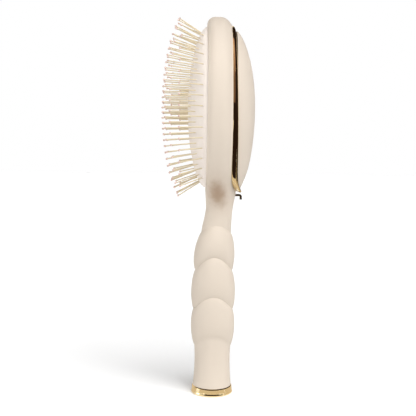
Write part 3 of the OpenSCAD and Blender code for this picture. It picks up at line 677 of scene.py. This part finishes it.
bpy.ops.object.select_all(action="DESELECT")
bpy.ops.mesh.primitive_plane_add(size=0.001, location=(0, 0, 0))
cushion = bpy.context.object
cushion.name = "rubber_cushion"
bpy.ops.object.mode_set(mode="EDIT")
bpy.ops.mesh.select_mode(type="VERT")
bpy.ops.mesh.select_all(action="SELECT")
bpy.ops.mesh.merge(type="CENTER")
bpy.ops.transform.translate(value=(-lip_x + skirt, 0, pad_z + end_z + end_r - skin_gap))
spin_round_oval(end_steps=22, side_steps=24)
bpy.ops.mesh.extrude_region_move(TRANSFORM_OT_translate={"value": (-skirt / 2, 0, 0)})
bpy.ops.mesh.extrude_region_move(TRANSFORM_OT_translate={"value": (-skirt / 2, 0, 0)})
last_x = -lip_x
last_share = 1
for share in crown_shares:
    now_x = skin_x(share)
    bpy.ops.mesh.extrude_region_move(TRANSFORM_OT_translate={"value": (now_x - last_x, 0, 0)})
    ratio = share / last_share
    bpy.ops.transform.resize(value=(1, ratio, ratio), center_override=(now_x, 0, pad_z))
    last_x = now_x
    last_share = share
bpy.ops.mesh.merge(type="CENTER")
bpy.ops.transform.translate(value=(-lip_x - crown_h - last_x, 0, 0))
pick_edges(cushion, lambda edge: len(edge.link_faces) == 1)
bpy.ops.mesh.fill()
bpy.ops.mesh.select_all(action="SELECT")
bpy.ops.mesh.normals_make_consistent(inside=False)
bpy.ops.object.mode_set(mode="OBJECT")
remesh = cushion.modifiers.new("even_mesh", "REMESH")
remesh.mode = "VOXEL"
remesh.voxel_size = mesh_size
bpy.ops.object.modifier_apply(modifier=remesh.name)


def oval_reach(angle, grow):
    """Distance from the oval's middle to its edge, grown by a margin, in one direction."""
    s = abs(math.sin(angle))
    c = abs(math.cos(angle))
    under = (end_r + grow) ** 2 - (end_z * s) ** 2
    if under > 0:
        at_end = end_z * c + math.sqrt(under)
        if at_end * c * side_y > end_z * (at_end * s + side_y):
            return at_end
    return -side_y * s + math.sqrt((side_r + grow) ** 2 - (side_y * c) ** 2)


def half_width(z):
    """Half width of the cushion's opening at a height from its middle."""
    if z > end_z * side_r / (side_r - end_r):
        return math.sqrt(max(end_r ** 2 - (z - end_z) ** 2, 0))
    return math.sqrt(side_r ** 2 - z * z) - side_y


# Where each pin leaves the skin, and which way it points: rows of 15 and 14 pins by
# turns, evenly spaced but for the rows' ends, towards which the pins lean outwards.
row_shares = (-0.95, -0.75, -0.5, -0.24, 0, 0.24, 0.5, 0.75, 0.95)
most_in_row = 15
even_part = 0.945
outer_row_cut = 0.08
half_row = 0.0473
row_fit = 0.96
end_tilt = math.radians(32.5)
tilt_power = 2.15
outer_tilt_cut = 0.4
outer_splay = math.radians(31)
splay_power = 2.6
pins = []
for k, row in enumerate(row_shares):
    count = most_in_row - k % 2
    for i in range(count):
        step = (2 * i - count + 1) / (most_in_row - 1)
        along = even_part * step + (1 - outer_row_cut * row ** 2 - even_part) * step ** 3
        z = along * half_row
        y = row * half_width(abs(z / row_fit))
        share = min(math.hypot(y, z) / oval_reach(math.atan2(y, z), -skin_gap), 1)
        tilt = end_tilt * math.copysign(abs(along) ** tilt_power, along) * (1 - outer_tilt_cut * row ** 2)
        splay = outer_splay * math.copysign(abs(row) ** splay_power, row)
        way = Vector((-math.cos(tilt) * math.cos(splay), math.cos(tilt) * math.sin(splay), math.sin(tilt)))
        pins.append((Vector((skin_x(share), y, pad_z + z)), way))

# The air is blown in: the skin swells where neither the rim nor a pin holds it.
rim_hold = 0.0006
pin_hold = 0.0013
most_lift = 0.0005
blow_steps = 20
held = cushion.vertex_groups.new(name="held")
for vert in cushion.data.vertices:
    nearest = min((vert.co - base).length for base, way in pins)
    if vert.co.x > -lip_x - rim_hold or nearest < pin_hold:
        held.add([vert.index], 1.0, "REPLACE")
flat = [vert.co.copy() for vert in cushion.data.vertices]
air = cushion.modifiers.new("air", "CLOTH")
air.settings.quality = 4
air.settings.mass = 0.3
air.settings.use_pressure = True
air.settings.uniform_pressure_force = 3000
air.settings.effector_weights.gravity = 0
air.settings.vertex_group_mass = "held"
air.collision_settings.use_collision = False
for step in range(1, blow_steps + 1):
    bpy.context.scene.frame_set(step)
bpy.ops.object.modifier_apply(modifier=air.name)
bpy.context.scene.frame_set(1)
for vert, was in zip(cushion.data.vertices, flat):
    move = vert.co - was
    if move.length > most_lift:
        vert.co = was + move * (most_lift / move.length)
even = cushion.modifiers.new("even", "SMOOTH")
even.factor = 0.5
even.iterations = 2
bpy.ops.object.modifier_apply(modifier=even.name)
finer = cushion.modifiers.new("finer", "SUBSURF")
finer.levels = 1
finer.render_levels = 1
bpy.ops.object.modifier_apply(modifier=finer.name)

# Each pin comes out of a small moulded boss, which is modelled once and copied.
boss_foot_r = 0.00068
boss_top_r = 0.00046
boss_h = 0.0005
boss_mid = 0.0001
boss_round = 0.00008
bpy.ops.object.select_all(action="DESELECT")
bpy.ops.mesh.primitive_cone_add(vertices=12, radius1=boss_foot_r, radius2=boss_top_r, depth=boss_h,
                                end_fill_type="NGON", location=(0, 0, boss_mid))
boss = bpy.context.object
boss.name = "boss"
bpy.ops.object.transform_apply(location=True, rotation=True, scale=True)
bpy.ops.object.mode_set(mode="EDIT")
pick_edges(boss, lambda edge: all(vert.co.z > boss_mid for vert in edge.verts))
bpy.ops.mesh.bevel(offset=boss_round, segments=2, profile=0.5, affect="EDGES")
bpy.ops.object.mode_set(mode="OBJECT")
bpy.ops.object.shade_smooth()
bosses = []
for base, way in pins:
    one = bpy.data.objects.new("boss_copy", boss.data.copy())
    bpy.context.scene.collection.objects.link(one)
    one.data.transform(Matrix.Translation(base) @ way.to_track_quat("Z", "Y").to_matrix().to_4x4())
    bosses.append(one)
bpy.data.objects.remove(boss)
bpy.ops.object.select_all(action="DESELECT")
for one in bosses:
    one.select_set(True)
cushion.select_set(True)
bpy.context.view_layer.objects.active = cushion
bpy.ops.object.join()
bpy.ops.object.shade_smooth_by_angle(angle=math.radians(50))

# The skin is a little paler towards the rim.
rubber = plastic("white_rubber", (0.815, 0.745, 0.685), 0.6, patch=60, grain=2200)
tree = rubber.node_tree
shader = tree.nodes["Principled BSDF"]
to_rim = split(tree, object_place(tree))["X"]
paler_to_rim = ramp(tree, to_rim, (-0.0085, 1.0), (-0.0058, 1.05), "SMOOTHSTEP")
tree.links.new(shaded(tree, shader, paler_to_rim), shader.inputs["Base Color"])
cushion.data.materials.clear()
cushion.data.materials.append(rubber)
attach(cushion, "body")
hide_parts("cushion")
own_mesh(cushion)


# Inside: the carrier that clamps the skin, its screws, the steel weight and the plug
# and screw that hold the foot, and the pad under it. They keep their CAD shapes.
dark = plastic("black_moulding", (0.05, 0.05, 0.05), 0.5)
steel = plated("plain_steel", (0.6, 0.6, 0.62), 0.3)
for name in ("pad_carrier", "foot_pad"):
    dress(name, dark)
for name in ("carrier_screws", "foot_screw", "balance_weight"):
    dress(name, steel)
dress("foot_plug", gold)
